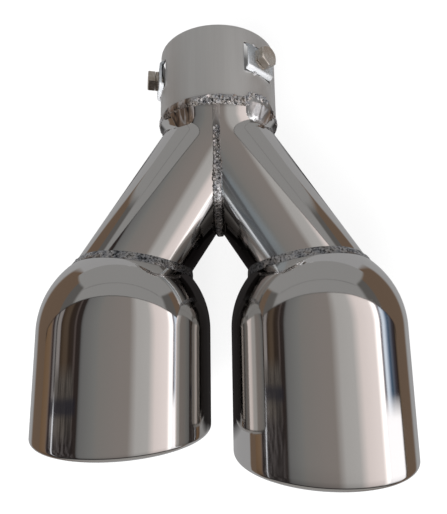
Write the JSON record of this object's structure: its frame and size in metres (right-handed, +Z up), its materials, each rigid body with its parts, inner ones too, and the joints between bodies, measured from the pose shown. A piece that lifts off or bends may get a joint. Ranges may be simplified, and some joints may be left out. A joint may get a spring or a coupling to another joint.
{
  "type": "twin-outlet exhaust tip",
  "caption": "Y-shaped polished steel exhaust tip: a clamp sleeve feeds two welded branch tubes, each ending in a round shouldered outlet with a rolled, slanted lip.",
  "frame": {"origin": "centre of the inlet sleeve's mouth, on the sleeve's axis", "axes": "+Y out of the inlet along the sleeve's axis, +X across the two outlets to the right, +Z up with the part lying on its two tips"},
  "size_m": [0.187, 0.2195, 0.088],
  "materials": {
    "polished_steel": "mirror-polished stainless steel with fine polishing lines",
    "sleeve_steel": "bright-drawn stainless steel, less polished than the tips",
    "seat_steel": "bright rolled stainless strip, cool in tone",
    "weld_metal": "rippled weld bead with brown and blue heat tint",
    "fastener_steel": "plain zinc-coated hex fasteners, warm in tone"
  },
  "bodies": {
    "root": {"inlet_sleeve": "sleeve_steel", "left_branch_tube": "polished_steel", "right_branch_tube": "polished_steel", "left_outlet_tip": "polished_steel", "right_outlet_tip": "polished_steel", "collar_weld": "weld_metal", "seam_weld": "weld_metal", "left_shoulder_weld": "weld_metal", "right_shoulder_weld": "weld_metal", "clamp_seat_1": "seat_steel", "clamp_seat_2": "seat_steel", "clamp_seat_3": "seat_steel", "seat_tacks_1": "weld_metal", "seat_tacks_2": "weld_metal", "seat_tacks_3": "weld_metal", "clamp_nut_1": "fastener_steel", "clamp_nut_2": "fastener_steel", "clamp_nut_3": "fastener_steel", "clamp_bolt_1": "fastener_steel", "clamp_bolt_2": "fastener_steel", "clamp_bolt_3": "fastener_steel"}
  },
  "joints": []
}
